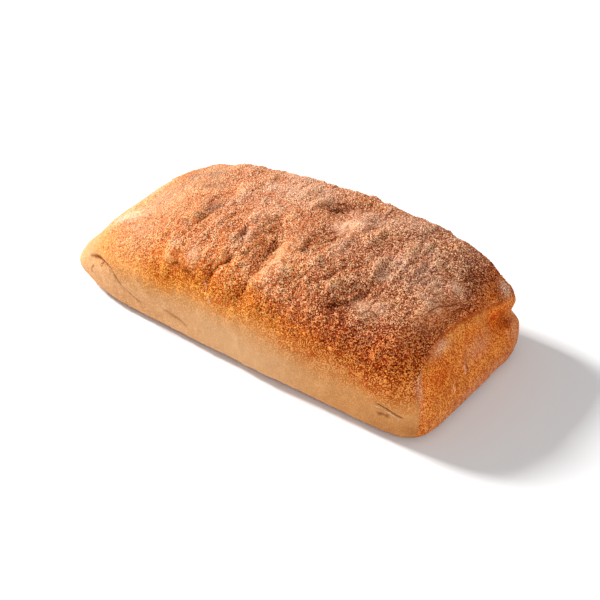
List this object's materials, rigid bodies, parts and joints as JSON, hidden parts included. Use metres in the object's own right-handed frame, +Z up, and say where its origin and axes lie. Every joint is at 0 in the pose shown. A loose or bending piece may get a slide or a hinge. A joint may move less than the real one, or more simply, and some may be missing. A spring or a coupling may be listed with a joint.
{
  "type": "ciabatta loaf",
  "caption": "Whole ciabatta: a long, low, flat-bottomed loaf with a wrinkled crown, one blunt folded end and one lower, tapered end.",
  "frame": {"origin": "on the flat underside, at the middle of the loaf's box", "axes": "+X along the loaf towards its blunt, folded end; +Z up; -Y out of the pale long side that the picture shows"},
  "size_m": [0.2494, 0.1184, 0.071],
  "materials": {
    "crust": "dry, matt baked crust: speckled toasted brown and peach on top, pale tan on the long sides, golden orange at the blunt end"
  },
  "bodies": {
    "root": {"loaf": "crust"}
  },
  "joints": []
}
